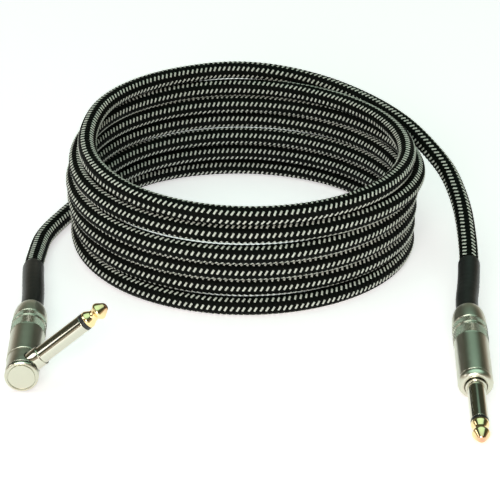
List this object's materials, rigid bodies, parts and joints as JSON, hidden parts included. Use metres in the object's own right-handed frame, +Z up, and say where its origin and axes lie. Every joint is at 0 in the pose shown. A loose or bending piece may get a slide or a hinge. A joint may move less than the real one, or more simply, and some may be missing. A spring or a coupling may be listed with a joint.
{
  "type": "instrument cable",
  "caption": "Coiled instrument cord with a woven black-and-silver jacket, a straight phone plug on one end and a right-angle phone plug on the other, both with screw-on metal shells",
  "frame": {"origin": "on the floor under the middle of the two plugs' bounding box; the coil lies behind it, toward +Y", "axes": "+X runs from the right-angle plug to the straight plug; both plugs point toward -Y; +Z is up"},
  "size_m": [0.1774, 0.2305, 0.0526],
  "materials": {
    "gold": "gold plated, polished",
    "bright_nickel": "polished nickel plate",
    "satin_nickel": "satin nickel plate",
    "black_insulator": "moulded black plastic",
    "liner_plastic": "thin translucent plastic tube",
    "copper": "bare copper strand",
    "core_plastic": "natural core insulation",
    "shrink_rubber": "heat-shrunk black tubing",
    "woven_jacket": "woven black yarn with silver flecks"
  },
  "bodies": {
    "cable_and_fixed_parts": {"straight_plug_base": "bright_nickel", "straight_tip_rod": "gold", "straight_tip_insulator": "black_insulator", "straight_rod_insulator": "black_insulator", "straight_sleeve": "bright_nickel", "straight_rear_washer": "black_insulator", "straight_solder_cup": "gold", "straight_ground_lug": "bright_nickel", "straight_core_insulation": "core_plastic", "straight_core_conductor": "copper", "straight_shield_pigtail": "copper", "straight_shrink_sleeve": "shrink_rubber", "angle_elbow_housing": "satin_nickel", "angle_end_cap": "satin_nickel", "angle_tip_rod": "gold", "angle_tip_insulator": "black_insulator", "angle_rod_insulator": "black_insulator", "angle_sleeve": "bright_nickel", "angle_tip_lug": "gold", "angle_ground_lug": "bright_nickel", "angle_core_insulation": "core_plastic", "angle_core_conductor": "copper", "angle_shield_pigtail": "copper", "angle_shrink_sleeve": "shrink_rubber", "cable_coil": "woven_jacket", "cable_tail_straight": "woven_jacket", "cable_tail_angle": "woven_jacket"},
    "straight_liner_body": {"straight_shell_liner": "liner_plastic"},
    "straight_shell_body": {"straight_shell": "satin_nickel"},
    "straight_chuck_body": {"straight_cable_chuck": "black_insulator"},
    "straight_nut_body": {"straight_gland_nut": "satin_nickel"},
    "angle_liner_body": {"angle_shell_liner": "liner_plastic"},
    "angle_shell_body": {"angle_shell": "satin_nickel"},
    "angle_chuck_body": {"angle_cable_chuck": "black_insulator"},
    "angle_nut_body": {"angle_gland_nut": "satin_nickel"}
  },
  "joints": [
    {"name": "straight_shell_travel", "type": "slide", "parent": "cable_and_fixed_parts", "child": "straight_liner_body", "axis": [0.0307, 0.9936, 0.1084], "range_m": [0, 0.0045]},
    {"name": "straight_shell_turn", "type": "hinge", "parent": "straight_liner_body", "child": "straight_shell_body", "pos_m": [0.08053, -0.00969, 0.00819], "axis": [0.0307, 0.9936, 0.1084], "range_deg": [0, 2160]},
    {"name": "straight_nut_travel", "type": "slide", "parent": "straight_shell_body", "child": "straight_chuck_body", "axis": [0.0307, 0.9936, 0.1084], "range_m": [0, 0.00375]},
    {"name": "straight_nut_turn", "type": "hinge", "parent": "straight_chuck_body", "child": "straight_nut_body", "pos_m": [0.08053, -0.00969, 0.00819], "axis": [0.0307, 0.9936, 0.1084], "range_deg": [0, 1800]},
    {"name": "angle_shell_travel", "type": "slide", "parent": "cable_and_fixed_parts", "child": "angle_liner_body", "axis": [-0.0401, 0.9992, 0], "range_m": [0, 0.0045]},
    {"name": "angle_shell_turn", "type": "hinge", "parent": "angle_liner_body", "child": "angle_shell_body", "pos_m": [-0.08002, -0.00223, 0.0065], "axis": [-0.0401, 0.9992, 0], "range_deg": [0, 2160]},
    {"name": "angle_nut_travel", "type": "slide", "parent": "angle_shell_body", "child": "angle_chuck_body", "axis": [-0.0401, 0.9992, 0], "range_m": [0, 0.00375]},
    {"name": "angle_nut_turn", "type": "hinge", "parent": "angle_chuck_body", "child": "angle_nut_body", "pos_m": [-0.08002, -0.00223, 0.0065], "axis": [-0.0401, 0.9992, 0], "range_deg": [0, 1800]}
  ],
  "couplings": [
    {"joint": "straight_shell_turn", "follows": "straight_shell_travel", "rad_per_m": 8377.5},
    {"joint": "straight_nut_turn", "follows": "straight_nut_travel", "rad_per_m": 8377.5},
    {"joint": "angle_shell_turn", "follows": "angle_shell_travel", "rad_per_m": 8377.5},
    {"joint": "angle_nut_turn", "follows": "angle_nut_travel", "rad_per_m": 8377.5}
  ]
}
